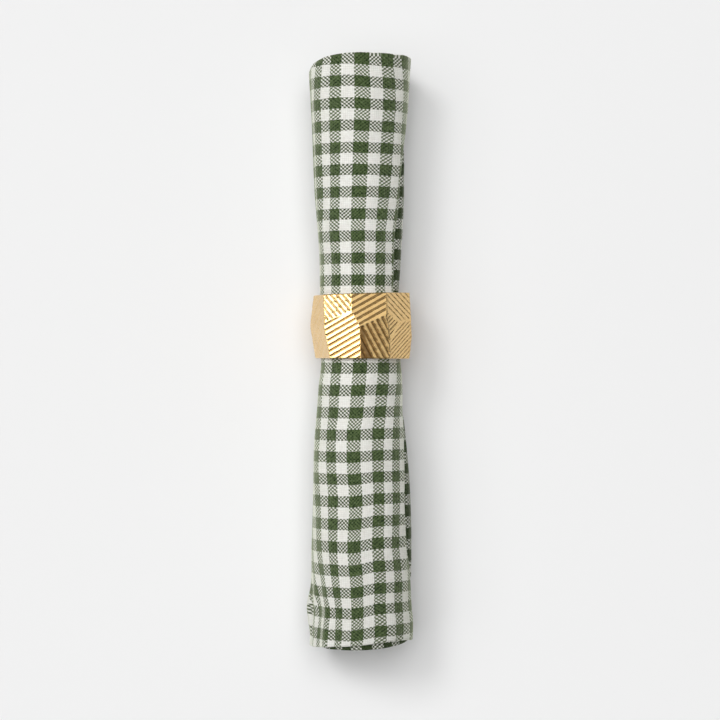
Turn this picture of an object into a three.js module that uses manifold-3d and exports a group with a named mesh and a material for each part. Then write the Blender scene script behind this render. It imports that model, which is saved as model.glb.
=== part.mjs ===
// A square gingham napkin, folded in half, rolled up and held at its waist by a cast brass napkin ring.
// Millimetres, +Z up. The roll lies along Y on the plane z = 0, and the origin is under its middle.
// Angles round the roll are in degrees, from straight up towards +X, unless a name says otherwise.

import * as THREE from "three";
import { mergeVertices } from "three/addons/utils/BufferGeometryUtils.js";
import Module from "manifold-3d";

// Cloth: a 508 mm square, folded to 254 mm and rolled from one end of the fold to the other.
const NAPKIN_SIDE = 508;
const ROLL_LENGTH = NAPKIN_SIDE / 2 - 0.4;
const CLOTH = 0.65;
const LAYERS = 2 * CLOTH;
const TURNS = 6.25;
const CORE_RADIUS = 4.4;
const HEM_ROUND = 0.3;

// Outline of the roll: silhouette left and right, lowest point and crown at stations along Y.
// The last rows at each end flare where the roll springs open; the rows about y = 11 sit in the ring.
const ROLL_OUTLINE = [
  { y: -126.8, left: -21.6, right: 21.8, foot: 0, crown: 42.2 },
  { y: -118.0, left: -20.9, right: 22.2, foot: 0, crown: 42.4 },
  { y: -103.0, left: -21.0, right: 21.8, foot: 0, crown: 42.2 },
  { y: -88.0, left: -21.0, right: 21.8, foot: 0, crown: 42.1 },
  { y: -68.0, left: -20.6, right: 21.3, foot: 0, crown: 41.6 },
  { y: -53.0, left: -20.4, right: 20.5, foot: 0.3, crown: 41.0 },
  { y: -37.0, left: -19.7, right: 19.3, foot: 1.4, crown: 40.3 },
  { y: -24.5, left: -18.7, right: 18.0, foot: 2.6, crown: 39.3 },
  { y: -14.5, left: -18.1, right: 17.7, foot: 3.4, crown: 38.6 },
  { y: -4.5, left: -16.9, right: 17.5, foot: 4.4, crown: 38.2 },
  { y: 11.1, left: -17.2, right: 17.2, foot: 4.45, crown: 38.15 },
  { y: 27.0, left: -17.4, right: 16.8, foot: 4.4, crown: 38.1 },
  { y: 38.5, left: -17.5, right: 17.2, foot: 3.8, crown: 38.4 },
  { y: 52.0, left: -18.5, right: 17.8, foot: 2.2, crown: 39.2 },
  { y: 70.5, left: -19.9, right: 18.6, foot: 1.0, crown: 40.0 },
  { y: 90.0, left: -20.5, right: 19.3, foot: 0.3, crown: 40.6 },
  { y: 108.5, left: -21.5, right: 20.5, foot: 0, crown: 41.4 },
  { y: 121.5, left: -22.1, right: 21.2, foot: 0, crown: 41.9 },
  { y: 126.8, left: -21.8, right: 21.4, foot: 0, crown: 41.8 },
];
// How far each section is cut flat by what it lies on.
const FOOT_FLAT = 0.7;
const FLAT_SHARE = 0.8;

// The loose hemmed edge: where it ends round the roll, and how far it stands off the turn below.
const FLAP_EDGE = [
  { y: -126.8, angle: 84, gap: 0.4 },
  { y: -112.0, angle: 78, gap: 0.4 },
  { y: -88.0, angle: 67, gap: 0.6 },
  { y: -66.0, angle: 62, gap: 0.9 },
  { y: -40.0, angle: 70, gap: 0.7 },
  { y: -22.0, angle: 84, gap: 0.4 },
  { y: 6.0, angle: 80, gap: 0.3 },
  { y: 28.0, angle: 57, gap: 0.4 },
  { y: 66.0, angle: 61, gap: 0.5 },
  { y: 88.0, angle: 71, gap: 0.5 },
  { y: 100.0, angle: 86, gap: 0.4 },
  { y: 126.8, angle: 88, gap: 0.4 },
];
const SLOT_END_GAP = 0.3;
const STEP_START = 0.72;
const NOSE_ANGLE = 1.6;

// Where the folded end stops short of the full length, and where the two hemmed layers end.
const FOLD_END = [
  { angle: -180, short: 3.0 },
  { angle: -130, short: 6.0 },
  { angle: -90, short: 6.4 },
  { angle: -60, short: 2.8 },
  { angle: -35, short: 0.8 },
  { angle: 0, short: 0 },
  { angle: 90, short: 0 },
  { angle: 180, short: 3.0 },
];
const HEM_END = [
  { angle: -180, outer: 1.6, inner: 0.8 },
  { angle: -90, outer: 0.1, inner: 1.0 },
  { angle: -50, outer: 0.9, inner: 0.7 },
  { angle: 0, outer: 2.4, inner: 0.3 },
  { angle: 40, outer: 3.6, inner: 0.4 },
  { angle: 90, outer: 2.4, inner: 0.9 },
  { angle: 180, outer: 1.6, inner: 0.8 },
];

// Main creases: soft ridges (+) and troughs (-) that run lengthwise over the roll.
const CREASES = [
  { angle: -88, y: -112, height: 1.6, spread: 4, reach: 5 },
  { angle: -78, y: -118, height: -0.9, spread: 5, reach: 26 },
  { angle: -66, y: -116, height: 0.7, spread: 5, reach: 30 },
  { angle: -55, y: -120, height: -0.9, spread: 5, reach: 34 },
  { angle: -43, y: -118, height: 0.6, spread: 6, reach: 32 },
  { angle: -33, y: -122, height: -0.6, spread: 5, reach: 28 },
  { angle: -80, y: 70, height: -0.7, spread: 7, reach: 26 },
  { angle: -66, y: 84, height: 0.5, spread: 8, reach: 34 },
  { angle: -20, y: 40, height: -0.35, spread: 9, reach: 30 },
  { angle: 24, y: -34, height: -0.45, spread: 8, reach: 30 },
  { angle: 42, y: 48, height: -0.5, spread: 9, reach: 36 },
  { angle: -118, y: -30, height: -0.7, spread: 10, reach: 44 },
  { angle: 125, y: -40, height: -0.6, spread: 12, reach: 40 },
  { angle: 128, y: 62, height: -0.7, spread: 11, reach: 40 },
  { angle: -140, y: 64, height: 0.5, spread: 10, reach: 38 },
];

// How far below the outline a crease dies out.
const CREASE_DEPTH = 7;

// Steps of the roll's surface: round one turn, under the flap, and along Y.
const TURN_STEPS = 48;
const SLOT_STEPS = 3;
const STATION_GAP = 6;
// How deep the air between the turns is sunk at the ends, over how many steps it sinks, and how
// much less the inmost turn stops short than the outer one.
const AIR_DEPTH = 2.6;
const AIR_STEPS = 6;
const INNER_SHORT = 0.45;
const CORE_DEPTH = 14;

// Ring: a barrel of flat facets in two rows about a plain bore, each facet cast with straight ribs.
const RING_CENTRE = { x: 0, y: 11.3, z: 20.95 };
const RING_TURN = 0.9;
const RING_WIDTH = 27.8;
// How far each end face is turned about the vertical from square to the bore.
const END_TURNS = { fold: 0.8, hem: -1.1 };
const BORE_RADIUS = 17.75;
const BORE_CHAMFER = 0.4;
const BORE_SIDES = 72;
const BLANK_RADIUS = 30;
// A groove's width at the top, width at the floor and depth, as shares of the rib pitch.
const GROOVE = { width: 0.4, floor: 0.14, depth: 0.26 };
// How far a groove's cutter stands above its facet, and the thin edge left between two facets' grooves.
const GROOVE_CLEAR = 1;
const ARRIS = 0.25;

// azimuth: which way the facet looks; tilt: towards +Y; distance: from the ring's centre;
// ribs: their slope in the facet, from the way round the ring towards +Y; pitch: from rib to rib;
// shift: of the ribs across their run.
const FACETS = [
  { azimuth: -66.3, tilt: 2.5, distance: 20.75, ribs: 42, pitch: 2.0, shift: 0.4 },
  { azimuth: -24, tilt: 7.7, distance: 21.75, ribs: -46.8, pitch: 2.0, shift: 1.1 },
  { azimuth: 7.8, tilt: 9, distance: 21.6, ribs: 28.4, pitch: 2.3, shift: 1.9 },
  { azimuth: 51.8, tilt: 6, distance: 21.7, ribs: -36, pitch: 2.05, shift: 0.7 },
  { azimuth: 92, tilt: 1.8, distance: 21.8, ribs: 30, pitch: 2.2, shift: 0.3 },
  { azimuth: 137, tilt: 6, distance: 21.3, ribs: -60, pitch: 1.9, shift: 0.8 },
  { azimuth: 178, tilt: 6, distance: 21.2, ribs: 24, pitch: 2.1, shift: 1.2 },
  { azimuth: 217, tilt: 6, distance: 21.2, ribs: -34, pitch: 2.3, shift: 0.5 },
  { azimuth: 259, tilt: 10, distance: 20.5, ribs: 40, pitch: 2.0, shift: 0 },
  { azimuth: -67.6, tilt: -10, distance: 20.3, ribs: -50, pitch: 2.1, shift: 0.9 },
  { azimuth: -19.2, tilt: -4.7, distance: 20.85, ribs: 27, pitch: 2.15, shift: 1.4 },
  { azimuth: 13.6, tilt: -4.5, distance: 21.45, ribs: -61.2, pitch: 2.0, shift: 1.8 },
  { azimuth: 53, tilt: -3.2, distance: 21.55, ribs: 34, pitch: 1.55, shift: 0.3 },
  { azimuth: 98, tilt: -7.2, distance: 21.6, ribs: -44, pitch: 2.1, shift: 1.1 },
  { azimuth: 142, tilt: -6, distance: 21.3, ribs: 25, pitch: 2.2, shift: 0.6 },
  { azimuth: 183, tilt: -6, distance: 21.2, ribs: -52, pitch: 2.0, shift: 0.2 },
  { azimuth: 222, tilt: -6, distance: 21.1, ribs: 33, pitch: 1.9, shift: 1.0 },
  { azimuth: 259.3, tilt: -7, distance: 20.6, ribs: -30, pitch: 2.2, shift: 0.7 },
  { azimuth: 48.2, tilt: 0.5, distance: 21.7, ribs: 34, pitch: 1.55, shift: 0.9 },
  { azimuth: 158, tilt: 1, distance: 22.25, ribs: -20, pitch: 1.6, shift: 0.4 },
];

const COLOURS = {
  cloth: { color: 0x8f9b7c, roughness: 0.9, metalness: 0 },
  brass: { color: 0xd2a866, roughness: 0.35, metalness: 1 },
};

const rad = THREE.MathUtils.degToRad;
const wasm = await Module();
wasm.setup();

// Reads column `name` of a table at `at`, along a smooth curve through its rows.
function read(table, key, name, at) {
  const last = table.length - 1;
  if (at <= table[0][key]) return table[0][name];
  if (at >= table[last][key]) return table[last][name];
  const i = table.findIndex((row) => row[key] > at) - 1;
  const slope = (a, b) => (table[b][name] - table[a][name]) / (table[b][key] - table[a][key]);
  const before = i > 0 ? slope(i - 1, i) : slope(i, i + 1);
  const here = slope(i, i + 1);
  const after = i < last - 1 ? slope(i + 1, i + 2) : here;
  const step = table[i + 1][key] - table[i][key];
  const t = (at - table[i][key]) / step;
  // A bend that changes direction gets a level tangent, so the curve never overshoots a row.
  const start = before * here > 0 ? (2 * before * here) / (before + here) : 0;
  const end = here * after > 0 ? (2 * here * after) / (here + after) : 0;
  return (
    table[i][name] * (1 + 2 * t) * (1 - t) ** 2 +
    start * step * t * (1 - t) ** 2 +
    table[i + 1][name] * (3 - 2 * t) * t ** 2 -
    end * step * (1 - t) * t ** 2
  );
}

// The same direction as `angle`, between -180 and 180.
function wrap(angle) {
  return THREE.MathUtils.euclideanModulo(angle + 180, 360) - 180;
}

function creaseHeight(angle, y) {
  return CREASES.reduce((sum, c) => {
    const across = wrap(angle - c.angle) / c.spread;
    const along = (y - c.y) / c.reach;
    return sum + c.height * Math.exp(-across * across - along * along);
  }, 0);
}

// Centre and half sizes of the roll's round section at y.
function sectionAt(y) {
  const left = read(ROLL_OUTLINE, "y", "left", y);
  const right = read(ROLL_OUTLINE, "y", "right", y);
  const foot = read(ROLL_OUTLINE, "y", "foot", y);
  const crown = read(ROLL_OUTLINE, "y", "crown", y);
  return {
    x: (left + right) / 2,
    z: (foot - FOOT_FLAT + crown) / 2,
    halfX: (right - left) / 2,
    halfZ: (crown - foot + FOOT_FLAT) / 2,
    foot,
  };
}

// A point of the roll `inset` mm below its outer surface. Deeper turns are creased and pressed flat
// less than the outer one.
function rollPoint(angle, y, inset) {
  const section = sectionAt(y);
  const a = rad(angle);
  const round = 1 / Math.hypot(Math.sin(a) / section.halfX, Math.cos(a) / section.halfZ);
  const creased = Math.max(0, 1 - inset / CREASE_DEPTH) * creaseHeight(angle, y);
  const r = round + creased - inset;
  const z = section.z + r * Math.cos(a);
  const wound = THREE.MathUtils.euclideanModulo(windingAngle(0, y) - angle, 360) / 360;
  const outer = windingInset(wound * TURN_STEPS, y);
  const floor = section.foot + FLAT_SHARE * Math.max(0, inset - outer);
  return { x: section.x + r * Math.sin(rad(angle)), z: Math.max(z, floor) };
}

// How far the outer face of the cloth lies below the roll's outline after `steps` of winding in. The
// first turn keeps to the outline until it has to dive under the flap.
function windingInset(steps, y) {
  const gap = read(FLAP_EDGE, "y", "gap", y);
  const turn = steps / TURN_STEPS;
  if (turn <= 1) return (LAYERS + gap) * THREE.MathUtils.smoothstep(turn, STEP_START, 1);
  const inmost = sectionAt(y).halfX - CORE_RADIUS - LAYERS;
  return THREE.MathUtils.lerp(LAYERS + gap, inmost, (turn - 1) / (TURNS - 1));
}

function windingAngle(steps, y) {
  return read(FLAP_EDGE, "y", "angle", y) - (360 * steps) / TURN_STEPS;
}

// One closed section as rows of angle and inset. It starts at the flap's edge, runs back over the
// crown and once round, passes under the flap to the slot's end, and returns along the flap's
// underside, whose points no end may draw in below their own face.
function sectionLine(y) {
  const line = [];
  for (let i = 0; i <= TURN_STEPS; i++) {
    line.push({ angle: windingAngle(i, y), inset: windingInset(i, y) });
  }
  const gap = read(FLAP_EDGE, "y", "gap", y);
  for (let i = 1; i <= SLOT_STEPS; i++) {
    const open = THREE.MathUtils.lerp(gap, SLOT_END_GAP, i / SLOT_STEPS);
    line.push({ angle: windingAngle(TURN_STEPS + i, y), inset: LAYERS + open });
  }
  for (let i = SLOT_STEPS; i >= 0; i--) {
    line.push({ angle: windingAngle(i, y), inset: LAYERS, most: LAYERS });
  }
  const edge = windingAngle(0, y);
  line.push({ angle: edge + NOSE_ANGLE, inset: LAYERS * 0.7, most: LAYERS * 0.9 });
  line.push({ angle: edge + NOSE_ANGLE, inset: LAYERS * 0.3, most: LAYERS * 0.7 });
  return line;
}

// The rows of the skin, from the hemmed end to the folded one: a place in Y that may vary with the
// angle, and how far the row is drawn in from the outer surface.
function skinRows() {
  const half = ROLL_LENGTH / 2;
  const hem = (layer, back) => (angle) => -half + read(HEM_END, "angle", layer, wrap(angle)) + back;
  const fold = (back) => (angle) => half - read(FOLD_END, "angle", "short", wrap(angle)) - back;
  const rows = [
    { y: hem("inner", 0), inset: CLOTH + HEM_ROUND },
    { y: hem("inner", HEM_ROUND), inset: CLOTH },
    { y: hem("outer", 0.1), inset: CLOTH },
    { y: hem("outer", 0), inset: HEM_ROUND },
    { y: hem("outer", HEM_ROUND), inset: 0 },
  ];
  const ends = 9;
  const count = Math.round((ROLL_LENGTH - 2 * ends) / STATION_GAP);
  for (let i = 0; i <= count; i++) {
    const y = -half + ends + ((ROLL_LENGTH - 2 * ends) * i) / count;
    rows.push({ y: () => y, inset: 0 });
  }
  for (const bend of [0, 35, 65, 90]) {
    const back = CLOTH * (1 - Math.sin(rad(bend)));
    rows.push({ y: fold(back), inset: CLOTH * (1 - Math.cos(rad(bend))) });
  }
  return rows;
}

// A closed geometry as a solid that can be cut and joined.
function solidOf(geometry) {
  const bare = geometry.clone();
  bare.deleteAttribute("normal");
  bare.deleteAttribute("uv");
  const merged = mergeVertices(bare, 1e-4);
  return new wasm.Manifold(
    new wasm.Mesh({
      numProp: 3,
      vertProperties: merged.attributes.position.array,
      triVerts: new Uint32Array(merged.index.array),
    }),
  );
}

function geometryOf(solid) {
  const mesh = solid.getMesh();
  const geometry = new THREE.BufferGeometry();
  geometry.setAttribute("position", new THREE.BufferAttribute(mesh.vertProperties, 3));
  geometry.setIndex(new THREE.BufferAttribute(mesh.triVerts, 1));
  const faceted = geometry.toNonIndexed();
  faceted.computeVertexNormals();
  return faceted;
}

// The one real body of a cut solid, without the specks that a cut can leave.
function largest(solid) {
  return solid.decompose().reduce((best, body) => (body.volume() > best.volume() ? body : best));
}

// How far the end of the cloth stops short at one angle, less for the inner turns.
function endShort(sign, angle, turn) {
  const [table, column] = sign > 0 ? [FOLD_END, "short"] : [HEM_END, "inner"];
  const fade = 1 - (INNER_SHORT * turn) / TURNS;
  return read(table, "angle", column, wrap(angle)) * fade;
}

// Closes one end: the turns' edges stand as a ridge that winds in from the skin's last row, with the
// air between them sunk as a valley, down to a hollow core. `row` holds the last row's point numbers.
function closeEnd(points, triangles, row, sign) {
  const end = (sign * ROLL_LENGTH) / 2;
  const last = Math.round(TURNS * TURN_STEPS);
  const skinSteps = TURN_STEPS + SLOT_STEPS;
  const face = (a, b, c) => triangles.push(sign > 0 ? [a, b, c] : [a, c, b]);
  const place = (steps, inset, sunk) => {
    const angle = windingAngle(steps, end);
    const p = rollPoint(angle, end, inset);
    points.push([p.x, end - sign * (endShort(sign, angle, steps / TURN_STEPS) + sunk), p.z]);
    return points.length - 1;
  };
  const ridge = row.slice(0, skinSteps + 1);
  for (let i = skinSteps + 1; i <= last; i++) {
    ridge.push(place(i, windingInset(i, end) + CLOTH, 0));
  }
  const valley = [];
  for (let i = SLOT_STEPS; i <= last; i++) {
    const next = windingInset(i + TURN_STEPS, end);
    const inset = (windingInset(i, end) + LAYERS + next) / 2;
    const sunk = AIR_DEPTH * Math.min(1, (i - SLOT_STEPS) / AIR_STEPS);
    valley[i] = place(i, inset, sunk);
  }
  for (let i = SLOT_STEPS; i < last; i++) {
    face(ridge[i], valley[i + 1], ridge[i + 1]);
    face(ridge[i], valley[i], valley[i + 1]);
    if (i + 1 > last - TURN_STEPS) continue;
    const [a, b] = [ridge[i + TURN_STEPS], ridge[i + TURN_STEPS + 1]];
    face(valley[i], b, valley[i + 1]);
    face(valley[i], a, b);
  }
  // The flap's own end, from its outer face to its underside, and the step down to the valley.
  const underside = row.slice(skinSteps + 1, skinSteps + SLOT_STEPS + 2).reverse();
  for (let i = 0; i < SLOT_STEPS; i++) {
    face(row[i], underside[i + 1], row[i + 1]);
    face(row[i], underside[i], underside[i + 1]);
  }
  const nose = row.slice(-2);
  face(row[0], nose[0], underside[0]);
  face(row[0], nose[1], nose[0]);
  face(ridge[SLOT_STEPS], underside[SLOT_STEPS], valley[SLOT_STEPS]);
  face(underside[SLOT_STEPS], ridge[skinSteps], valley[SLOT_STEPS]);
  // The hollow core.
  const rim = [ridge[last]];
  for (let i = last; i >= last - TURN_STEPS; i--) rim.push(valley[i]);
  const floor = rim.map((n) => {
    const [x, , z] = points[n];
    points.push([x, end - sign * CORE_DEPTH, z]);
    return points.length - 1;
  });
  const centre = sectionAt(end);
  points.push([centre.x, end - sign * CORE_DEPTH, centre.z]);
  const middle = points.length - 1;
  rim.forEach((n, i) => {
    const next = (i + 1) % rim.length;
    face(n, rim[next], floor[next]);
    face(n, floor[next], floor[i]);
    face(floor[i], floor[next], middle);
  });
}

// The wound cloth as one skin of rows, closed at both ends.
function napkin() {
  const rows = skinRows();
  const width = sectionLine(0).length;
  const points = [];
  const triangles = [];
  for (const row of rows) {
    for (const { angle, inset, most = Infinity } of sectionLine(row.y(0))) {
      const y = row.y(angle);
      const p = rollPoint(angle, y, Math.min(inset + row.inset, most));
      points.push([p.x, y, p.z]);
    }
  }
  for (let i = 0; i + 1 < rows.length; i++) {
    for (let j = 0; j < width; j++) {
      const a = i * width + j;
      const b = i * width + ((j + 1) % width);
      triangles.push([a, a + width, b], [b, a + width, b + width]);
    }
  }
  const rowOf = (i) => Array.from({ length: width }, (_, j) => i * width + j);
  closeEnd(points, triangles, rowOf(0), -1);
  closeEnd(points, triangles, rowOf(rows.length - 1), 1);
  const geometry = new THREE.BufferGeometry();
  geometry.setAttribute("position", new THREE.Float32BufferAttribute(points.flat(), 3));
  geometry.setIndex(triangles.flat());
  geometry.computeVertexNormals();
  const mesh = new THREE.Mesh(geometry, new THREE.MeshStandardMaterial(COLOURS.cloth));
  mesh.name = "napkin";
  return mesh;
}

// A facet's outward normal, in the ring's own frame with the bore along Y.
function facetNormal({ azimuth, tilt }) {
  const flat = Math.cos(rad(tilt));
  return new THREE.Vector3(
    Math.sin(rad(azimuth)) * flat,
    Math.sin(rad(tilt)),
    Math.cos(rad(azimuth)) * flat,
  );
}

// Keeps the part of a solid on the inner side of a plane.
function keepInside(solid, normal, distance) {
  return solid.trimByPlane(normal.clone().negate().toArray(), -distance);
}

// The grooves between one facet's ribs, ended where the facet meets its neighbours.
function facetGrooves(facet) {
  const normal = facetNormal(facet);
  const round = new THREE.Vector3(Math.cos(rad(facet.azimuth)), 0, -Math.sin(rad(facet.azimuth)));
  const across = new THREE.Vector3().crossVectors(normal, round).normalize();
  const along = new THREE.Vector3()
    .addScaledVector(round, Math.cos(rad(facet.ribs)))
    .addScaledVector(across, Math.sin(rad(facet.ribs)));
  const side = new THREE.Vector3().crossVectors(along, normal);
  const { pitch } = facet;
  const slope = (GROOVE.width - GROOVE.floor) / 2 / GROOVE.depth;
  const floorHalf = (GROOVE.floor * pitch) / 2;
  const depth = GROOVE.depth * pitch;
  const topHalf = floorHalf + slope * (depth + GROOVE_CLEAR);
  const profile = new THREE.Shape([
    new THREE.Vector2(-topHalf, GROOVE_CLEAR),
    new THREE.Vector2(-floorHalf, -depth),
    new THREE.Vector2(floorHalf, -depth),
    new THREE.Vector2(topHalf, GROOVE_CLEAR),
  ]);
  const reach = RING_WIDTH * 1.2;
  const count = Math.ceil(reach / 2 / pitch);
  let grooves = null;
  for (let i = -count; i < count; i++) {
    const bar = new THREE.ExtrudeGeometry(profile, { depth: reach, bevelEnabled: false });
    bar.translate((i + 0.5) * pitch + facet.shift, 0, -reach / 2);
    bar.applyMatrix4(new THREE.Matrix4().makeBasis(side, normal, along.clone().negate()));
    const place = normal.clone().multiplyScalar(facet.distance);
    bar.translate(place.x, place.y, place.z);
    const solid = solidOf(bar);
    grooves = grooves ? grooves.add(solid) : solid;
  }
  for (const other of FACETS) {
    if (other === facet) continue;
    const between = facetNormal(other).sub(normal);
    const size = between.length();
    const shared = (other.distance - facet.distance) / size;
    grooves = keepInside(grooves, between.divideScalar(size), shared - ARRIS / 2);
  }
  return grooves;
}

function ring() {
  const half = RING_WIDTH / 2;
  const blank = new THREE.CylinderGeometry(BLANK_RADIUS, BLANK_RADIUS, 2 * RING_WIDTH, BORE_SIDES);
  let body = solidOf(blank);
  // An end face looks along +Y (sign 1) or -Y (sign -1), turned about the vertical.
  const keepEnd = (solid, sign, turn) => {
    const normal = new THREE.Vector3(-Math.sin(rad(turn)), Math.cos(rad(turn)), 0);
    return keepInside(solid, normal.multiplyScalar(sign), half);
  };
  body = keepEnd(body, 1, END_TURNS.fold);
  body = keepEnd(body, -1, END_TURNS.hem);
  for (const facet of FACETS) body = keepInside(body, facetNormal(facet), facet.distance);
  for (const facet of FACETS) body = body.subtract(facetGrooves(facet));
  body = keepInside(body, new THREE.Vector3(0, 0, -1), RING_CENTRE.z);
  const wide = BORE_RADIUS + BORE_CHAMFER;
  const bore = new THREE.LatheGeometry(
    [
      new THREE.Vector2(0, -half - 1),
      new THREE.Vector2(wide + 1, -half - 1),
      new THREE.Vector2(BORE_RADIUS, -half + BORE_CHAMFER),
      new THREE.Vector2(BORE_RADIUS, half - BORE_CHAMFER),
      new THREE.Vector2(wide + 1, half + 1),
      new THREE.Vector2(0, half + 1),
    ],
    BORE_SIDES,
  );
  body = largest(body.subtract(solidOf(bore)));
  const mesh = new THREE.Mesh(geometryOf(body), new THREE.MeshStandardMaterial(COLOURS.brass));
  mesh.name = "ring";
  mesh.position.set(RING_CENTRE.x, RING_CENTRE.y, RING_CENTRE.z);
  mesh.rotation.z = rad(RING_TURN);
  return mesh;
}

const group = new THREE.Group();
group.add(napkin(), ring());

export default group;
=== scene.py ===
import math

import bpy
import numpy as np
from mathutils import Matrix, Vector


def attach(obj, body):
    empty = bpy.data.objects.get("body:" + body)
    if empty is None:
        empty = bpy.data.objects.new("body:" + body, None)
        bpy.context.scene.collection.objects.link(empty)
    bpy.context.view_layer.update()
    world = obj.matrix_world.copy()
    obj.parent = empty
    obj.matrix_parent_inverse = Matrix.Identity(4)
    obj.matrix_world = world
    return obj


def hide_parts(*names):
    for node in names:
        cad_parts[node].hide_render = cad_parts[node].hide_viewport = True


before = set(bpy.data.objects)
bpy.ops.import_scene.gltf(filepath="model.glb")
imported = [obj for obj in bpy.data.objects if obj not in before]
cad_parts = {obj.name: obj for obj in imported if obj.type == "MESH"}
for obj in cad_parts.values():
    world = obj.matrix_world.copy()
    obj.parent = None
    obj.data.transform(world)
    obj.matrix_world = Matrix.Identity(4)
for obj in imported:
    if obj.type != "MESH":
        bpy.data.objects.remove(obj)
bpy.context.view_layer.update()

# A millimetre in metres, and a distance in millimetres that is out of reach of everything here.
MM = 0.001
FAR = 90.0

# Camera: straight down on the middle of the roll.
CAMERA_Y = -3.2
CAMERA_HEIGHT = 950.0
LENS = 107.3
SENSOR = 36.0

# Light: a soft source up and to the left, a wide even one overhead that doesn't show in the brass,
# large pale panels and a faint sky. Widths are in degrees as seen from the roll. Panels are flat,
# each a little below the last, and their edges are shares of the height. Where "lights" is false, a
# panel only shows in the brass.
LIGHTS = {
    "key": {"towards": (-0.55, 0.60, 1.0), "width": 20.0, "strength": 0.90},
    "overhead": {"towards": (0.04, 0.25, 1.0), "width": 40.0, "strength": 1.38},
}
PANELS = {
    "left_panel": {"x": (-1.50, -0.60), "y": (-0.50, 0.75), "radiance": 1.22, "lights": True},
    "middle_panel": {"x": (-0.60, 0.43), "y": (-0.50, 0.95), "radiance": 0.68, "lights": True},
    "left_gleam": {"x": (-1.40, -0.50), "y": (-0.50, 0.70), "radiance": 4.2, "lights": False},
    "high_gleam": {"x": (0.05, 0.43), "y": (0.00, 0.80), "radiance": 0.36, "lights": False},
    "right_gleam": {"x": (0.43, 0.75), "y": (-0.70, 0.80), "radiance": 0.68, "lights": False},
}
PANEL_HEIGHT = 4.0
PANEL_STEP = 0.01
SKY = 0.082

# The napkin, in millimetres and degrees as in the solid part. Folding takes a little of its length.
NAPKIN_SIDE = 508.0
FOLD_LOSS = 0.4
ROLL_LENGTH = NAPKIN_SIDE / 2 - FOLD_LOSS
# How thick the two layers of a turn are, the count of turns, and the mean radii of the roll's skin,
# of its first and second turn and of its core.
LAYERS = 1.3
TURNS = 6.25
SKIN_RADIUS = 21.2
FIRST_TURN_RADIUS, SECOND_TURN_RADIUS, CORE_RADIUS = 21.0, 19.0, 4.4
# How far the roll's round section would reach below the surface that it lies on, and how much closer
# its turns lie there.
FOOT_FLAT = 0.7
FLAT_SHARE = 0.8
# The outer turn starts to step down under the loose edge after this share of the way round.
STEP_START = 0.72
# The depth at which creases have died away.
CREASE_DEPTH = 7.0
# The ring presses creases and hems flat between these places along the roll.
GRIP_START, GRIP_END = (-12, -1), (24, 36)
CREASE_PRESSED, HEM_PRESSED = 0.75, 0.7

# Outline of the roll at stations along Y: silhouette left and right, lowest point and crown.
ROLL_OUTLINE = {
    "y": (-126.8, -118, -103, -88, -68, -53, -37, -24.5, -14.5, -4.5, 11.1, 27, 38.5, 52, 70.5,
          90, 108.5, 121.5, 126.8),
    "left": (-21.6, -20.9, -21, -21, -20.6, -20.4, -19.7, -18.7, -18.1, -16.9, -17.2, -17.4,
             -17.5, -18.5, -19.9, -20.5, -21.5, -22.1, -21.8),
    "right": (21.8, 22.2, 21.8, 21.8, 21.3, 20.5, 19.3, 18, 17.7, 17.5, 17.2, 16.8, 17.2, 17.8,
              18.6, 19.3, 20.5, 21.2, 21.4),
    "foot": (0, 0, 0, 0, 0, 0.3, 1.4, 2.6, 3.4, 4.4, 4.45, 4.4, 3.8, 2.2, 1, 0.3, 0, 0, 0),
    "crown": (42.2, 42.4, 42.2, 42.1, 41.6, 41, 40.3, 39.3, 38.6, 38.2, 38.15, 38.1, 38.4, 39.2,
              40, 40.6, 41.4, 41.9, 41.8),
}
# The loose hemmed edge of the outer layer and its gap to the turn below; how many degrees the inner
# layer's edge stands out from under it, and how far that layer has slipped round the roll, in
# stripes, and towards the fold.
FLAP_EDGE = {
    "y": (-126.8, -112, -100, -90, -84, -75, -65, -56, -47.6, -37, -26.5, -15, 6, 22, 31, 49, 59,
          68, 78, 88, 100, 126.8),
    "angle": (84, 80, 78, 70.5, 64, 62.5, 61.5, 65, 67, 71.6, 80, 86, 80, 62, 57, 54.5, 61, 63,
              65, 72, 84, 88),
    "gap": (0.4, 0.4, 0.5, 0.6, 0.7, 0.8, 0.9, 0.8, 0.8, 0.7, 0.5, 0.4, 0.3, 0.35, 0.4, 0.45, 0.5,
            0.5, 0.5, 0.5, 0.4, 0.4),
    "under": (-1.5, -1, 5, 17, 26, 28, 29, 26, 24, 18, 8, 0, 0, 18, 26, 31, 26, 22, 16, 7, 0, 0),
    "slip": (0.5, 0.3, 0, -0.1, -0.1, -0.1, -0.1, -0.1, -0.1, -0.05, 0, 0, 0.1, 0.23, 0.23, 0.23, 0.23,
             0.23, 0.22, 0.15, 0.05, 0),
    "slid": (-2.6, -2.2, -1.9, -1.7, -1.5, -1.3, -0.9, -1.2, -1.9, -1.9, -1.8, -1.7, -1.8, -2.2, -2.6,
             -3.6, -4.1, -4.2, -4, -3.3, -2.2, 0),
}
# How far the fold and each layer's hem stop short of the roll's ends, by angle.
FOLD_END = {
    "angle": (-180, -130, -90, -60, -35, 0, 90, 180),
    "short": (3, 6, 6.4, 2.8, 0.8, 0, 0, 3),
}
HEM_END = {
    "angle": (-180, -90, -62, -48, -30, 0, 20, 40, 60, 90, 180),
    "outer": (1.6, 0.1, 0.7, 1.2, 1.8, 2.7, 3.5, 4.1, 3.8, 2.6, 1.6),
    "inner": (2.0, 2.2, 1.6, 0.6, 0.4, 0.5, 0.8, 1.4, 2.0, 3.0, 2.0),
}
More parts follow.
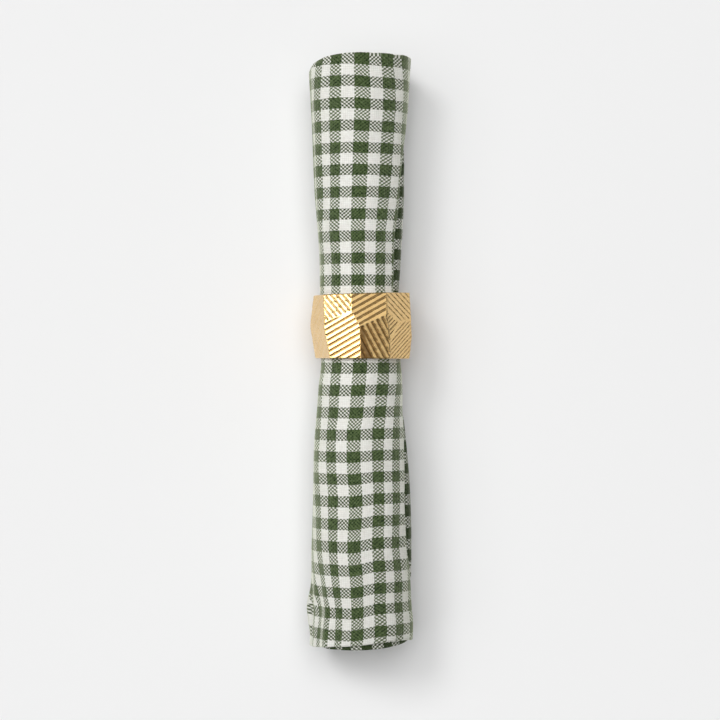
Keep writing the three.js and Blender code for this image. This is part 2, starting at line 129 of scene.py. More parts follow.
# Creases along the roll: angle, y, height, spread round the roll, reach along it. The first ones
# follow the solid's; the rest are the finer pleats by the hemmed end and soft dents elsewhere.
CREASES = (
    (-90, -110.8, 2.3, 5, 8), (-78, -118, -0.7, 6, 26), (-66, -116, 0.5, 6, 30),
    (-55, -120, -0.4, 7, 34), (-43, -118, 0.35, 7, 32), (-33, -122, -0.5, 6, 28),
    (-80, 70, -0.7, 7, 26), (-66, 84, 0.5, 8, 34), (-20, 40, -0.35, 9, 30),
    (24, -34, -0.45, 8, 30), (42, 48, -0.5, 9, 36), (-118, -30, -0.7, 10, 44),
    (125, -40, -0.6, 12, 40), (128, 62, -0.7, 11, 40), (-140, 64, 0.5, 10, 38),
    (-66, -122, 0.2, 5, 20), (-55, -124, -0.15, 6, 22), (-43, -120, 0.15, 6, 20),
    (-33, -120, -0.15, 5, 20), (-18, -112, 0.3, 6, 26), (10, -100, -0.25, 7, 30),
    (12, 60, 0.25, 8, 34), (-46, 20, -0.3, 7, 26), (60, -70, 0.3, 7, 30),
)
# Faint unevenness of hand-rolled cloth, as waves: height, waves round the roll, their lean and start,
# and how their height comes and goes along it.
WAVES = (
    (0.16, 5, 0.061, 0.7, 0.043, 1.1), (0.11, 9, -0.083, 2.1, 0.071, 0.3),
    (0.07, 17, 0.132, 0.0, 0.117, 2.0),
)

# The cloth's own make-up: half its thickness, plain and at the hem, where the hem's thickness ends,
# over what width its edges are rounded, and how deep each layer's middle lies in its turn.
CLOTH_HALF = 0.275
HEM_WIDTH = 12.0
HEM_STEP = (-2.5, 1.8)
HEM_HALF = 0.52
EDGE_ROUND, EDGE_THINNEST = 0.7, 0.12
LAYER_INSET = {"outer": 0.3, "inner": 0.95}
HEM_INSET = {"outer": 0.27, "inner": 1.9}
# The fold: its radius, how far its crest stands out for it, and how the layers puff apart near it.
FOLD_ROUND = 0.33
FOLD_REACH = 1.5
FOLD_PUFF, PUFF_REACH = 0.16, 1.6
# How much of both ends' slant is lost by the inmost turn.
SLANT_LOSS = 0.45
# The strip of the inner layer that is bare rises to the layer above it over these degrees.
BARE_RISE = (1.5, 9)
# The loose edge stands off the roll, a little more at the hem, and lies down over this share of a turn.
EDGE_LIFT, HEM_LIFT, LIFT_TURN = 0.35, 0.3, 0.2
# The gingham: from row to row along the roll, the first row's place, and from stripe to stripe round
# it. On the bare strip half of each stripe's width is left uncounted, so that it shows one stripe.
ROW_PERIOD = 9.36
FIRST_ROW = 124.4
ARC_PERIOD = 9.76
BARE_SQUEEZE = 0.5
# Yarns in one row of checks, the count of yarns round the roll at some stripes, and yarns to a
# stripe beyond those. The warp is a little coarser away from the middle, and by the hemmed end.
YARNS_PER_ROW = 6.2
WARP_COUNT = {"stripe": (0, 0.3, 0.8, 1.3, 21.3), "yarn": (0, 4.6, 10.8, 15.9, 195.9)}
WARP_PER_STRIPE = 9.0
WARP_SHARE = {
    "y": (-126.8, -110, -85, 126.8),
    "left": (0.8, 0.8, 1, 1),
    "right": (0.93, 0.93, 1, 1),
}

# Angles of the green stripes that run along the roll: the middle one on top, four to the left and
# three to the right. "beneath" is the number of the stripe at the bottom of the roll.
STRIPES = {
    "y": (-119, -110, -101, -82, -62.9, -44.3, -35, -25.2, -6.2, 30.7, 49.3, 68.4, 86.6, 105.7,
          124.8),
    "beneath": (-7.0, -6.9, -6.5, -6.0, -5.9, -5.9, -5.9, -5.9, -5.9, -5.9, -5.9, -5.9, -5.9, -5.9,
                -5.9),
    "left4": (-68, -68, -86, -110, -119, -127, -127, -128, -130, -126, -124, -114, -114, -112,
              -104),
    "left3": (-58, -55, -64, -82, -90, -100, -100, -101, -104, -99, -97, -86, -86, -84, -76),
    "left2": (-44.6, -41.7, -47, -57.6, -62, -69, -69, -70, -72, -70, -68, -58.5, -60, -60, -52),
    "left1": (-27.6, -27.4, -30.4, -34.4, -34.7, -37.7, -38.3, -36.3, -37.1, -36.2, -35.9,
              -31.7, -30, -29, -28),
    "middle": (-5.7, -4.8, -5.1, -8.6, -5.5, -7.8, -7.6, -3.7, -1.0, -2.2, -1.6, 0.3, 2.3, 4, 2.6),
    "right1": (22.7, 22.4, 23.5, 21.2, 22.5, 23.7, 25.3, 29.8, 35.6, 32.7, 30.7, 35.3, 37.4,
               39.8, 33.8),
    "right2": (47.5, 47, 47, 42, 45, 48.5, 52, 58.5, 71, 58, 55, 63.5, 69, 70, 62),
    "right3": (75.7, 74, 73, 68.5, 72, 77, 83, 92, 105, 89, 84, 95, 100, 103, 93),
}
STRIPE_NAMES = ("left4", "left3", "left2", "left1", "middle", "right1", "right2", "right3")
# Half the width of the middle stripe and of the first to its right, as a share of the distance to
# the next one. Both edges of these two are marks, and the marks are numbered in stripes. Beyond the
# last mark stripes are a fixed step apart, and beyond the roll's bottom they go by millimetres.
MIDDLE_HALF = 0.275
FIRST_RIGHT_HALF = 0.28
MARK_NUMBERS = (-4, -3, -2, -1, -0.25, 0.25, 0.75, 1.25, 2, 3)
BENEATH = -180.0
STEP_BEYOND = 30.5
# Rows lie "climb" mm higher on the right than on the left, rising between two angles. They also lie
# "drop" mm lower, which fades out between two angles round the left side.
ROW_SHIFT = {
    "y": (-126.8, -119, -110, -101, -92, -82, -54, -35, -16, -6, 80, 97, 115, 126.8),
    "climb": (1.8, 1.9, 2.1, 2.1, 1.9, 1.8, 1.1, 0.6, 0.3, 0, 0, -0.4, -0.8, -0.9),
    "drop": (0.5, 0.4, 0.4, 1.1, 1.05, 0.5, 0.1, 0.25, 0.15, 0, 0, 0, 0, 0),
}
CLIMB_START, CLIMB_END = -14.0, 22.0
DROP_FADE = (90, 180)
# The cloth is rolled a little askew, so a row comes round higher the nearer it is to the hems.
SKEW_START, SKEW = 80.0, 0.043
SKEW_TURN = (0.45, 0.95)

# The sheet's mesh: steps from an edge that are short near it, steps from the fold and bends round
# it in degrees, how far in the rows follow the slant of the ends, and counts of columns and rows.
EDGE_STEPS = (0, 0.3, 0.7, 1.3, 2.2, 3.6, 5.4, 7.4, 9.4, 11, 11.8, 12.6, 13.6)
FOLD_STEPS = (0.5, 1.2, 2.2, 3.6, 5.4)
FOLD_BENDS = (-60, -30, 0, 30, 60)
END_BLEND = 50.0
OUTER_COLUMNS = 128
INNER_COLUMNS = 106
OUTER_ROWS = 98
INNER_ROWS = 48

# The weave's looks. A noise is its scale, in waves to a yarn, and its detail. A range is the stretch
# of a value in which it has its whole effect, from none to full.
WANDER, WANDER_NOISE = 0.7, (0.27, 3.0)
LEAN, LEAN_NOISE, LEAN_RANGE = 0.33, (0.13, 1.0), (0.40, 0.60)
YARN_NOISE, YARN_RANGE = (0.83, 2.0), (0.3, 0.7)
# How quickly a yarn's shade changes along it, and where in the noise the crosswise yarns are read.
YARN_STRETCH = 0.12
WEFT_LEVEL = 7.0
MOTTLE_NOISE, MOTTLE_RANGE = (0.45, 2.0), (0.36, 0.64)
FLECK_NOISE, FLECK_RANGE, FLECK_SHARE = (0.9, 3.0), (0.6, 0.8), 0.3
SHADE_SHARES = {"yarn": 0.25, "crossing": 0.3, "mottle": 0.45}
GREEN_SHARES, GREEN_RANGE = {"shade": 0.65, "on_top": 0.35}, (0.14, 0.86)
GREEN_DEEP, GREEN_LIGHT = (0.006, 0.020, 0.003, 1), (0.102, 0.152, 0.056, 1)
# Painted shade: the inner layer's green is darkened towards this, by this share, for the shade under the
# outer layer.
UNDER_SHADE_GREEN, UNDER_SHADE_SHARE = (0.018, 0.032, 0.010, 1), 0.65
CREAM_DEEP, CREAM_LIGHT = (0.82, 0.81, 0.76, 1), (0.95, 0.945, 0.905, 1)
FLECK_COLOUR = (0.42, 0.45, 0.34, 1)
# Mixed squares are softened a little towards their own mean, and painted shade darkens everything towards
# the hemmed end and the right.
MIXED_COLOUR, MIXED_SHARE = (0.30, 0.33, 0.24, 1), 0.12
PAINTED_SHADE_COLOUR, PAINTED_SHADE_SHARE = (0.03, 0.04, 0.02, 1), 0.15
# How wide the gaps between yarns are, and how dark their painted shade is in plain squares, and in mixed
# ones, outside the broad painted shade and where it is full.
GAP_SHADE_COLOUR, GAP_WIDTH = (0.10, 0.115, 0.06, 1), 0.6
GAP_PLAIN, GAP_MIXED = 0.15, (0.52, 0.72)
# Painted shade, darker towards the hemmed end and the right: where along Y it starts and where it is
# deepest, in metres, and how much each metre to the right counts.
PAINTED_SHADE_FROM, PAINTED_SHADE_TO, PAINTED_SHADE_RIGHT = 0.010, -0.127, 1.6
# The weave's relief, and how much a yarn's shade counts in it.
WEAVE_BUMP = {"Strength": 0.7, "Distance": 0.00022}
SHADE_RELIEF = 0.6
# Sheen on the outer layer and the inner one, and roughness of the deepest shade and the lightest.
SHEEN = (0.7, 0.2)
COTTON_ROUGHNESS = (0.98, 0.85)
COTTON = {"Sheen Roughness": 0.45, "Sheen Tint": (0.82, 0.88, 0.64, 1), "Specular IOR Level": 0.15}

# The ring, as in the solid part.
RING_CENTRE = (0.0, 11.3, 20.95)
RING_TURN = 0.9
RING_WIDTH = 27.8
END_TURNS = {"fold": 0.8, "hem": -1.1}
BORE_RADIUS = 17.75
# Azimuth and tilt of each facet, its distance from the centre, its ribs' slope, pitch and shift, and
# how deep the grooves between them are cut, where 1 is plain.
FACETS = (
    (-66.3, 2.5, 20.75, 42, 2.0, 0.4, 0.12), (-24, 7.7, 21.75, -46.8, 2.0, 1.1, 0.9),
    (7.8, 9, 21.6, 28.4, 2.3, 1.9, 0.75), (51.8, 6, 21.7, -36, 2.05, 0.7, 0.45),
    (92, 1.8, 21.8, 30, 2.2, 0.3, 0.8), (137, 6, 21.3, -60, 1.9, 0.8, 0.9),
    (178, 6, 21.2, 24, 2.1, 1.2, 0.8), (217, 6, 21.2, -34, 2.3, 0.5, 0.9),
    (259, 10, 20.5, 40, 2.0, 0, 0.6), (-67.6, -10, 20.3, -50, 2.1, 0.9, 0.12),
    (-19.2, -4.7, 20.85, 27, 2.15, 1.4, 1.0), (13.6, -4.5, 21.45, -61.2, 2.4, 1.8, 1.1),
    (53, -3.2, 21.55, 34, 1.55, 0.3, 0.65), (98, -7.2, 21.6, -44, 2.1, 1.1, 0.8),
    (142, -6, 21.3, 25, 2.2, 0.6, 0.9), (183, -6, 21.2, -52, 2.0, 0.2, 0.8),
    (222, -6, 21.1, 33, 1.9, 1.0, 0.9), (259.3, -7, 20.6, -30, 2.2, 0.7, 0.6),
    (48.2, 0.5, 21.7, 34, 1.55, 0.9, 0.6), (158, 1, 22.25, -20, 1.6, 0.4, 0.8),
)
# A groove's sizes as shares of the pitch: its depth, half its flat floor, and half its width, which
# grows with how deep it is cut.
GROOVE_DEPTH = 0.2
GROOVE_FLOOR, GROOVE_HALF, GROOVE_SPREAD = 0.04, 0.12, 0.11
# Only facets that face a point by this much can hold it; the rest are taken as far away.
LEAST_FACING = 0.2
# Facets meet in an edge this soft, and grooves die out in this distance from it.
FACET_SOFTNESS = 0.05
GROOVE_END = (0.02, 0.14)
# How round the rims are, and the radius at which the slant of the end faces is taken.
RIM_ROUND = 0.35
END_RADIUS = 20.5
# The bore's profile: place from one rim to the other, and how much wider than the bore.
BORE_PROFILE = ((-1, 0.35), (-0.975, 0.02), (0, 0.02), (0.975, 0.02), (1, 0.35))
RING_STEPS_ROUND, RING_STEPS_ALONG = 620, 146
# One facet, by its place in FACETS, has painted shade towards the facet on its left: how dark, over which
# degrees, and how far the shade's edge slants with each millimetre along the ring.
SHADED_FACET = 11
FACET_SHADE, FACET_SHADE_EDGE, FACET_SHADE_SLANT = 1.2, (0.0, 3.5), 0.9
# Groove depth that is fully dark with patina and painted shade, and how dark the bore is.
DARK_DEPTH, BORE_DARK = 0.5, 0.3
# The casting's faint unevenness as waves: height, radians to a millimetre along the ring, waves round
# it, and start. The bumps also come and go round the ring, which their start belongs to.
BUMPS = {"height": 0.03, "along": 3.1, "round": 7, "change": 11, "start": 0.9}
RIPPLES = {"height": 0.025, "along": 1.3, "round": -23, "start": 1.2}
# The brass's clouds and grain, with noise in waves to a metre, its roughness by grain and what the
# grooves add to it, and its colours on the ribs and in the grooves, where the darker colour is patina,
# partly painted shade.
CLOUD_NOISE, CLOUD_RANGE = (180.0, 4.0), (0.35, 0.65)
GRAIN_NOISE, GRAIN_RANGE = (1500.0, 3.0), (0.3, 0.7)
GRAIN_BUMP = {"Strength": 0.35, "Distance": 0.00006}
BRASS_ROUGHNESS, GROOVE_ROUGHNESS = (0.20, 0.30), 0.15
BRASS_LIGHT, BRASS_DEEP = (0.81, 0.55, 0.225, 1), (0.75, 0.49, 0.19, 1)
GROOVE_COLOUR, GROOVE_RANGE, GROOVE_SHARE = (0.25, 0.125, 0.028, 1), (0.1, 1.1), 0.85
BRASS = {"Metallic": 1.0, "Coat Weight": 0.7, "Coat Roughness": 0.18}

# The floor: how far it reaches, how far below the roll it lies, and its tones and their noise.
FLOOR_SIZE, FLOOR_LEVEL = 4000.0, -0.1
FLOOR_NOISE = (3.0, 2.0)
FLOOR_TONES = (0.845, 0.845, 0.845, 1), (0.855, 0.855, 0.855, 1)
FLOOR = {"Roughness": 1.0, "Specular IOR Level": 0.0}


def camera_and_lights():
    data = bpy.data.cameras.new("camera")
    data.lens = LENS
    data.sensor_width = SENSOR
    camera = bpy.data.objects.new("camera", data)
    camera.location = (0, CAMERA_Y * MM, CAMERA_HEIGHT * MM)
    bpy.context.collection.objects.link(camera)
    bpy.context.scene.camera = camera
    for name, values in LIGHTS.items():
        towards = Vector(values["towards"]).normalized()
        light = bpy.data.lights.new(name, "SUN")
        light.angle = math.radians(values["width"])
        light.energy = values["strength"]
        lamp = bpy.data.objects.new(name, light)
        lamp.location = towards
        lamp.rotation_euler = towards.to_track_quat("Z", "Y").to_euler()
        lamp.visible_glossy = name == "key"
        bpy.context.collection.objects.link(lamp)
    for number, (name, values) in enumerate(PANELS.items()):
        left, right = (edge * PANEL_HEIGHT for edge in values["x"])
        near, far = (edge * PANEL_HEIGHT for edge in values["y"])
        light = bpy.data.lights.new(name, "AREA")
        light.shape = "RECTANGLE"
        light.size, light.size_y = right - left, far - near
        light.energy = values["radiance"] * math.pi * (right - left) * (far - near)
        lamp = bpy.data.objects.new(name, light)
        lamp.location = ((left + right) / 2, (near + far) / 2, PANEL_HEIGHT - number * PANEL_STEP)
        lamp.visible_diffuse = values["lights"]
        bpy.context.collection.objects.link(lamp)
    world = bpy.data.worlds.new("sky")
    world.use_nodes = True
    world.node_tree.nodes["Background"].inputs["Color"].default_value = (1, 1, 1, 1)
    world.node_tree.nodes["Background"].inputs["Strength"].default_value = SKY
    bpy.context.scene.world = world
    bpy.context.scene.view_settings.view_transform = "Standard"


# Reads column `name` of a table at every value of `at`, along a smooth curve through its rows.
def read(table, key, name, at):
    x = np.asarray(table[key], float)
    v = np.asarray(table[name], float)
    at = np.clip(at, x[0], x[-1])
    i = np.clip(np.searchsorted(x, at, side="right") - 1, 0, len(x) - 2)
    slope = np.diff(v) / np.diff(x)
    before = slope[np.maximum(i - 1, 0)]
    here = slope[i]
    after = slope[np.minimum(i + 1, len(slope) - 1)]

    def tangent(a, b):
        same = a * b > 0
        total = np.where(same, a + b, 1.0)
        return np.where(same, 2 * a * b / total, 0.0)

    step = x[i + 1] - x[i]
    t = (at - x[i]) / step
    start, end = tangent(before, here), tangent(here, after)
    return (v[i] * (1 + 2 * t) * (1 - t) ** 2 + start * step * t * (1 - t) ** 2
            + v[i + 1] * (3 - 2 * t) * t ** 2 - end * step * (1 - t) * t ** 2)


# Reads a column of the loose edge's table.
def flap(name, y):
    return read(FLAP_EDGE, "y", name, y)


def wrap(angle):
    return (angle + 180) % 360 - 180


def smooth(x, low, high):
    t = np.clip((x - low) / (high - low), 0, 1)
    return t * t * (3 - 2 * t)


# How much the ring presses on the cloth at y.
def in_ring(y):
    return smooth(y, *GRIP_START) * (1 - smooth(y, *GRIP_END))


def crease_height(angle, y):
    total = np.zeros(np.broadcast(angle, y).shape)
    for at, place, height, spread, reach in CREASES:
        across = wrap(angle - at) / spread
        along = (y - place) / reach
        total = total + height * np.exp(-across ** 2 - along ** 2)
    a = np.radians(angle)
    wave = sum(height * np.sin(count * a + lean * y + start) * np.sin(change * y + place)
               for height, count, lean, start, change, place in WAVES)
    return (total + wave) * (1 - CREASE_PRESSED * in_ring(y))


# The roll's section at y: centre across and up, half its width and height, and its lowest point.
def section_at(y):
    left, right, foot, crown = (read(ROLL_OUTLINE, "y", n, y)
                                for n in ("left", "right", "foot", "crown"))
    return ((left + right) / 2, (foot - FOOT_FLAT + crown) / 2, (right - left) / 2,
            (crown - foot + FOOT_FLAT) / 2, foot)


# How far the outer face of the cloth lies below the roll's outline after `turn` turns of winding in.
def winding_inset(turn, y):
    gap = flap("gap", y)
    inmost = section_at(y)[2] - CORE_RADIUS - LAYERS
    first = (LAYERS + gap) * smooth(turn, STEP_START, 1)
    rest = LAYERS + gap + (inmost - LAYERS - gap) * (turn - 1) / (TURNS - 1)
    return np.where(turn <= 1, first, rest)


# Points of the roll `inset` mm below its outer surface.
def roll_points(angle, y, inset):
    x, z, half_x, half_z, foot = section_at(y)
    a = np.radians(angle)
    round_ = 1 / np.hypot(np.sin(a) / half_x, np.cos(a) / half_z)
    creased = np.clip(1 - inset / CREASE_DEPTH, 0, 1) * crease_height(angle, y)
    r = round_ + creased - inset
    wound = ((flap("angle", y) - angle) % 360) / 360
    outer = winding_inset(wound, y)
    floor = foot + CLOTH_HALF + FLAT_SHARE * np.maximum(0, inset - outer - CLOTH_HALF)
    up = np.maximum(z + r * np.cos(a), floor)
    return np.stack([x + r * np.sin(a), y + 0 * up, up], -1)


# The sheet's columns: turns wound in from the loose edge, and millimetres along the cloth.
def sheet_columns():
    edge = np.array(EDGE_STEPS) / (2 * math.pi * SKIN_RADIUS)
    first = np.linspace(edge[-1], 1, OUTER_COLUMNS)[1:]
    inner = np.linspace(1, TURNS, INNER_COLUMNS)[1:]
    turn = np.concatenate([edge, first, inner])
    wound_in = (turn - 1) / (TURNS - 1)
    radius = np.where(turn < 1, FIRST_TURN_RADIUS,
                      SECOND_TURN_RADIUS - (SECOND_TURN_RADIUS - CORE_RADIUS) * wound_in)
    steps = np.diff(turn) * 2 * math.pi * (radius[1:] + radius[:-1]) / 2
    return turn, np.concatenate([[0], np.cumsum(steps)])


# Share of the full hem thickness at a distance from the cloth's edge.
def hem_share(distance):
    return 1 - smooth(distance, HEM_WIDTH + HEM_STEP[0], HEM_WIDTH + HEM_STEP[1])


# Rounds the thickness off towards an edge, down to a share that is the root of EDGE_THINNEST.
def edge_round(distance):
    return np.sqrt(np.clip(1 - (1 - np.clip(distance / EDGE_ROUND, 0, 1)) ** 2, EDGE_THINNEST, 1))


# Place among the stripes at an angle: whole numbers are the stripes' middles, 0 the one on top.
def stripe_number(angle, y):
    marks = [float(read(STRIPES, "y", name, np.array(y))) for name in STRIPE_NAMES]
    beneath = float(read(STRIPES, "y", "beneath", np.array(y)))
    before, middle, first, second = marks[3:7]
    marks[4:6] = [middle - MIDDLE_HALF * (middle - before),
                  middle + MIDDLE_HALF * (first - middle),
                  first - FIRST_RIGHT_HALF * (first - middle),
                  first + FIRST_RIGHT_HALF * (second - first)]
    low = MARK_NUMBERS[0] + (angle - marks[0]) * (beneath - MARK_NUMBERS[0]) / (BENEATH - marks[0])
    high = MARK_NUMBERS[-1] + (angle - marks[-1]) / STEP_BEYOND
    inside = np.interp(angle, marks, MARK_NUMBERS)
    return np.where(angle < marks[0], low, np.where(angle > marks[-1], high, inside))


# The rows of the sheet: layer, part, and distance from that end, place along the roll or bend.
def sheet_rows(start, stop):
    rows = []
    for d in EDGE_STEPS:
        rows.append(("outer", "hem", d))
    for y in np.linspace(start, stop, OUTER_ROWS)[1:-1]:
        rows.append(("outer", "run", y))
    for d in reversed(FOLD_STEPS):
        rows.append(("outer", "fold", d))
    for bend in FOLD_BENDS:
        rows.append(("turn", "fold", bend))
    for d in FOLD_STEPS:
        rows.append(("inner", "fold", d))
    for y in np.linspace(stop, start, INNER_ROWS)[1:-1]:
        rows.append(("inner", "run", y))
    for d in reversed(EDGE_STEPS):
        rows.append(("inner", "hem", d))
    return rows


# Where one row lies along the roll: y of its points, of the fold above them, and distance to the hem.
def row_place(layer, part, value, turn, start, stop):
    half = ROLL_LENGTH / 2
    nominal = {"run": value, "hem": -half, "fold": half}[part]
    angle = wrap(flap("angle", np.array(float(nominal))) - 360 * turn)
    fade = 1 - SLANT_LOSS * turn / TURNS
    fold = half - read(FOLD_END, "angle", "short", angle) * fade - FOLD_ROUND
    side = "outer" if layer == "outer" else "inner"
    hem = -half + read(HEM_END, "angle", side, angle) * fade
    to_hem = np.full_like(turn, FAR)
    if part == "hem":
        y = hem + value
        to_hem[:] = value
    elif part == "run":
        # The rows follow the slant of both ends and even out towards the middle.
        near_hem = smooth(value, start + END_BLEND, start)
        near_fold = smooth(value, stop - END_BLEND, stop)
        y = value + (hem + half) * near_hem + (fold + FOLD_ROUND - half) * near_fold
    elif layer == "turn":
        y = fold + FOLD_ROUND * FOLD_REACH * math.cos(math.radians(value))
    else:
        y = fold - value
    return y, fold, to_hem


# How far the middle of one layer lies below the outer face of its turn.
def layer_inset(layer, part, value, hemmed, bare):
    if layer == "turn":
        mean = (LAYER_INSET["outer"] + LAYER_INSET["inner"]) / 2
        own = mean + (FOLD_ROUND + FOLD_PUFF) * math.sin(math.radians(value))
    else:
        puff = FOLD_PUFF * math.exp(-value / PUFF_REACH) if part == "fold" else 0.0
        own = LAYER_INSET[layer] + (HEM_INSET[layer] - LAYER_INSET[layer]) * hemmed
        own = own - puff if layer == "outer" else own + puff
    # What stands out from under the loose edge lies as high as the layer above it.
    return own + (LAYER_INSET["outer"] - own) * bare


# Place of one row's points in the weave, counted in checks and in yarns.
def weave_place(layer, value, turn, along, edge, angle, y, fold):
    climb = smooth(angle, CLIMB_START, CLIMB_END) - smooth(0.0, CLIMB_START, CLIMB_END)
    moved = (read(ROW_SHIFT, "y", "climb", y) * climb
             - read(ROW_SHIFT, "y", "drop", y) * (1 - smooth(-angle, *DROP_FADE)))
    moved = moved + np.maximum(0, SKEW * (SKEW_START - y)) * smooth(turn, *SKEW_TURN)
    down = FIRST_ROW - y + moved
    crest = FIRST_ROW - fold
    if layer == "turn":
        down = crest - FOLD_ROUND * math.radians(value + 90)
    if layer == "inner":
        down = crest - FOLD_ROUND * math.pi - (fold - y) - flap("slid", y)
    row = down / ROW_PERIOD * 2 + 0.5
    seen = stripe_number(np.maximum(angle, BENEATH), float(np.mean(y)))
    squeeze = 0.0
    if layer != "outer":
        at_edge = stripe_number(edge, float(np.mean(y)))
        seen = seen - flap("slip", y)
        squeeze = BARE_SQUEEZE * np.maximum(0, seen - at_edge)
    beneath = np.interp(BENEATH, angle[::-1], along[::-1])
    stripe = seen - np.where(angle < BENEATH, along - beneath, 0) / ARC_PERIOD
    beyond = np.maximum(np.abs(stripe) - WARP_COUNT["stripe"][-1], 0) * WARP_PER_STRIPE
    count = np.interp(np.abs(stripe), WARP_COUNT["stripe"], WARP_COUNT["yarn"]) + beyond
    coarser = np.where(stripe < 0, read(WARP_SHARE, "y", "left", y), read(WARP_SHARE, "y", "right", y))
    warp = np.sign(stripe) * count * coarser
    return (np.stack([(stripe - squeeze) * 2 + 0.5, row], -1),
            np.stack([warp, row * YARNS_PER_ROW], -1))


# The sheet as grids of points: its middle surface, half its thickness, its place in the weave, and
# how far inside it is, from 0 on the outer layer to 1 on the inner one.
def sheet_grids():
    half = ROLL_LENGTH / 2
    start = -half + EDGE_STEPS[-1]
    stop = half - FOLD_STEPS[-1] - FOLD_ROUND
    turn, along = sheet_columns()
    to_side = np.minimum(along, along[-1] - along)
    middle, thick, checks, yarns, inside = [], [], [], [], []
    for layer, part, value in sheet_rows(start, stop):
        y, fold, to_hem = row_place(layer, part, value, turn, start, stop)
        edge = flap("angle", y)
        out_share = {"outer": 0.0, "turn": (value + 90) / 180, "inner": 1.0}[layer]
        angle = edge - 360 * turn + flap("under", y) * out_share
        wound = np.maximum((edge - angle) / 360, 0)
        hemmed = np.maximum(hem_share(to_side), hem_share(to_hem)) * (1 - HEM_PRESSED * in_ring(y))
        own = layer_inset(layer, part, value, hemmed, smooth(angle - edge, *BARE_RISE))
        lift = EDGE_LIFT + HEM_LIFT * hem_share(to_hem)
        lift = lift * (1 - smooth(turn, 0, LIFT_TURN)) * (1 - in_ring(y))
        middle.append(roll_points(angle, y, winding_inset(wound, y) + own - lift))
        half_thick = CLOTH_HALF + (HEM_HALF - CLOTH_HALF) * hemmed
        thick.append(half_thick * edge_round(np.minimum(to_side, to_hem)))
        in_checks, in_yarns = weave_place(layer, value, turn, along, edge, angle, y, fold)
        checks.append(in_checks)
        yarns.append(in_yarns)
        inside.append(np.full_like(turn, {"outer": 0.0, "turn": 0.5, "inner": 1.0}[layer]))
    weave = {"checks": np.array(checks), "yarns": np.array(yarns)}
    return np.array(middle), np.array(thick), weave, np.array(inside)


def grid_normals(points):
    down = np.gradient(points, axis=0)
    across = np.gradient(points, axis=1)
    normal = np.cross(down, across)
    size = np.linalg.norm(normal, axis=-1, keepdims=True)
    return normal / np.maximum(size, 1e-9)


# A mesh of points in millimetres, with its maps and values by name.
def mesh_object(name, points, faces, uv=None, values=None):
    mesh = bpy.data.meshes.new(name)
    faces = np.asarray(faces, np.int32)
    mesh.vertices.add(len(points))
    mesh.vertices.foreach_set("co", (np.asarray(points) * MM).astype(np.float32).ravel())
    mesh.loops.add(faces.size)
    mesh.loops.foreach_set("vertex_index", faces.ravel())
    mesh.polygons.add(len(faces))
    mesh.polygons.foreach_set("loop_start", np.arange(0, faces.size, faces.shape[1], dtype=np.int32))
    mesh.polygons.foreach_set("loop_total", np.full(len(faces), faces.shape[1], np.int32))
    for label, data in (uv or {}).items():
        layer = mesh.uv_layers.new(name=label)
        layer.data.foreach_set("uv", data[faces.ravel()].astype(np.float32).ravel())
    for label, data in (values or {}).items():
        attribute = mesh.attributes.new(label, "FLOAT", "POINT")
        attribute.data.foreach_set("value", np.asarray(data).astype(np.float32).ravel())
    mesh.update(calc_edges=True)
    mesh.validate()
    mesh.polygons.foreach_set("use_smooth", np.ones(len(mesh.polygons), bool))
    obj = bpy.data.objects.new(name, mesh)
    bpy.context.collection.objects.link(obj)
    return obj


def grid_faces(rows, columns, start=0, flip=False):
    i, j = np.meshgrid(np.arange(rows - 1), np.arange(columns - 1), indexing="ij")
    a = (start + i * columns + j).ravel()
    quads = np.stack([a, a + 1, a + columns + 1, a + columns], -1)
    return quads[:, ::-1] if flip else quads


# The napkin as one closed thin sheet.
def napkin_sheet():
    middle, thick, weave, inside = sheet_grids()
    normal = grid_normals(middle)
    outward = middle + normal * thick[..., None]
    inward = middle - normal * thick[..., None]
    rows, columns = thick.shape
    count = rows * columns
    faces = [grid_faces(rows, columns, flip=True), grid_faces(rows, columns, start=count)]
    rim = np.concatenate([np.arange(columns), np.arange(1, rows) * columns + columns - 1,
                          (rows - 1) * columns + np.arange(columns - 2, -1, -1),
                          np.arange(rows - 2, 0, -1) * columns])
    next_rim = np.roll(rim, -1)
    faces.append(np.stack([rim, next_rim, next_rim + count, rim + count], -1))
    points = np.concatenate([outward.reshape(-1, 3), inward.reshape(-1, 3)])
    uv = {key: np.concatenate([at.reshape(-1, 2)] * 2) for key, at in weave.items()}
    inside = np.concatenate([inside.ravel()] * 2)
    return mesh_object("napkin_cloth", points, np.concatenate(faces), uv, {"inside": inside})


# Distance from the bore's axis to each facet, and how deep its grooves are there.
def facet_fields(sin, cos, y):
    radii, grooves = [], []
    for azimuth, tilt, distance, ribs, pitch, shift, cut in FACETS:
        az, ti, ri = math.radians(azimuth), math.radians(tilt), math.radians(ribs)
        normal = np.array([math.sin(az) * math.cos(ti), math.sin(ti), math.cos(az) * math.cos(ti)])
        round_way = np.array([math.cos(az), 0, -math.sin(az)])
        across = np.cross(normal, round_way)
        across /= np.linalg.norm(across)
        run = round_way * math.cos(ri) + across * math.sin(ri)
        side = np.cross(run, normal)
        facing = normal[0] * sin + normal[2] * cos
        reach = (distance - y * normal[1]) / np.maximum(facing, LEAST_FACING)
        r = np.maximum(np.where(facing > LEAST_FACING, reach, FAR), 1.0)
        place = side[0] * r * sin + side[1] * y + side[2] * r * cos
        off = np.abs(((place - shift) / pitch) % 1 - 0.5)
        wall = smooth(off, GROOVE_FLOOR, GROOVE_HALF + GROOVE_SPREAD * cut)
        grooves.append((1 - wall) * GROOVE_DEPTH * pitch * cut)
        radii.append(r)
    return np.array(radii), np.array(grooves)


# Quads of a closed band whose grid of points is joined both ways.
def band_faces(around, along):
    i, j = np.meshgrid(np.arange(around), np.arange(along), indexing="ij")
    next_i, next_j = (i + 1) % around, (j + 1) % along
    corners = (i * along + j, i * along + next_j, next_i * along + next_j, next_i * along + j)
    return np.stack([corner.ravel() for corner in corners], -1)


